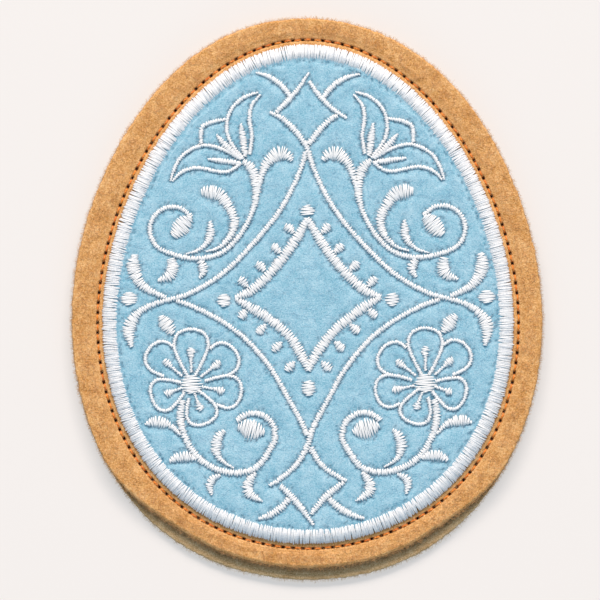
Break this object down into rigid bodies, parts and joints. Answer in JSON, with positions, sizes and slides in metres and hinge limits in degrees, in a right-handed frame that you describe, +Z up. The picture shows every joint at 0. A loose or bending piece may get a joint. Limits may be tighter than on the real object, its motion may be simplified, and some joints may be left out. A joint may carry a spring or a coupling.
{
  "type": "felt coaster",
  "caption": "Flat egg-shaped coaster of two tan felt layers with a pale blue felt applique, a white satin-stitched floral and lattice design and an orange edge seam.",
  "frame": {"origin": "under the middle of the felt egg's outline, on the underside of the backing felt", "axes": "+Z up out of the embroidered face, +Y towards the narrow end of the egg, +X across it to the right"},
  "size_m": [0.1066, 0.1272, 0.0053],
  "materials": {
    "tan_backing_felt": "fuzzy wool-blend felt, cut edge",
    "tan_front_felt": "fuzzy wool-blend felt, cut edge",
    "blue_felt": "fuzzy wool-blend felt",
    "stabilizer": "matte non-woven sheet",
    "orange_thread": "glossy twisted polyester thread",
    "border_thread": "glossy satin stitching",
    "motif_thread": "glossy satin stitching",
    "fine_thread": "matte sewing thread",
    "bobbin_thread": "matte fine bobbin thread"
  },
  "bodies": {
    "root": {"backing_felt": "tan_backing_felt", "stabilizer": "stabilizer", "front_felt": "tan_front_felt", "applique_felt": "blue_felt", "seam_top_thread": "orange_thread", "seam_bobbin_thread": "orange_thread", "placement_thread": "fine_thread", "tackdown_thread": "fine_thread", "border_bobbin_thread": "bobbin_thread", "motif_bobbin_thread": "bobbin_thread", "satin_border": "border_thread", "top_diamond": "motif_thread", "bottom_diamond": "motif_thread", "centre_diamond": "motif_thread", "centre_picots": "motif_thread", "upper_strand_left": "motif_thread", "upper_strand_right": "motif_thread", "lower_strand_left": "motif_thread", "lower_strand_right": "motif_thread", "side_dot_left": "motif_thread", "side_dot_right": "motif_thread", "lily_left": "motif_thread", "lily_right": "motif_thread", "lily_scroll_left": "motif_thread", "lily_scroll_right": "motif_thread", "flower_left": "motif_thread", "flower_right": "motif_thread", "bud_left": "motif_thread", "bud_right": "motif_thread", "flower_scroll_left": "motif_thread", "flower_scroll_right": "motif_thread"}
  },
  "joints": []
}
